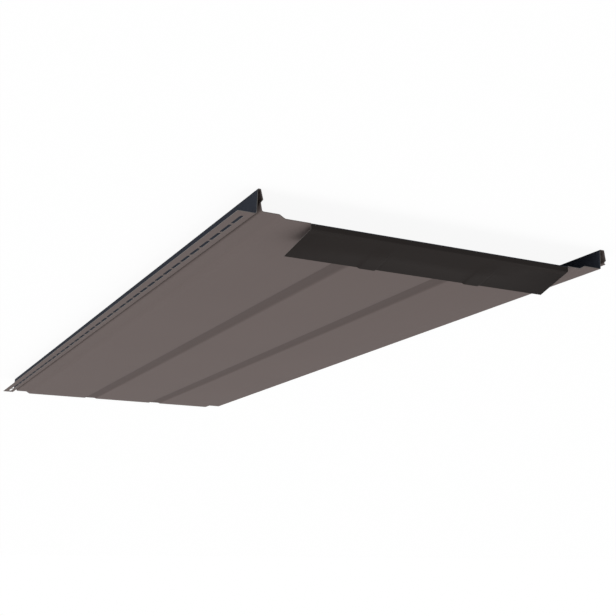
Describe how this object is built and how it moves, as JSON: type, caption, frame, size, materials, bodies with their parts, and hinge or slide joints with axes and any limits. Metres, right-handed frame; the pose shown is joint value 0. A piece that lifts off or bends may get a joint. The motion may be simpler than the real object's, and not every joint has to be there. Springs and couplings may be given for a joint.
{
  "type": "metal roofing sheet",
  "caption": "Snap-lock standing-seam roofing sheet: flat ribbed pan, slotted nail flange with locking seam, covering seam, and an eave tab folded under.",
  "frame": {"origin": "middle of the sheet's outline seen from above, on the level of the covering seam's cap that it lies on", "axes": "+Y up the roof from the eave tab to the square-cut end, +X towards the nail flange and locking seam, +Z out of the underside, because the sheet lies face down on its seams"},
  "size_m": [0.532, 1.354, 0.0559],
  "materials": {
    "coated_steel": "matt dark grey paint on the weather side, brown-grey backing coat on the underside, bare cut edges"
  },
  "bodies": {
    "root": {"roofing_sheet": "coated_steel"}
  },
  "joints": []
}
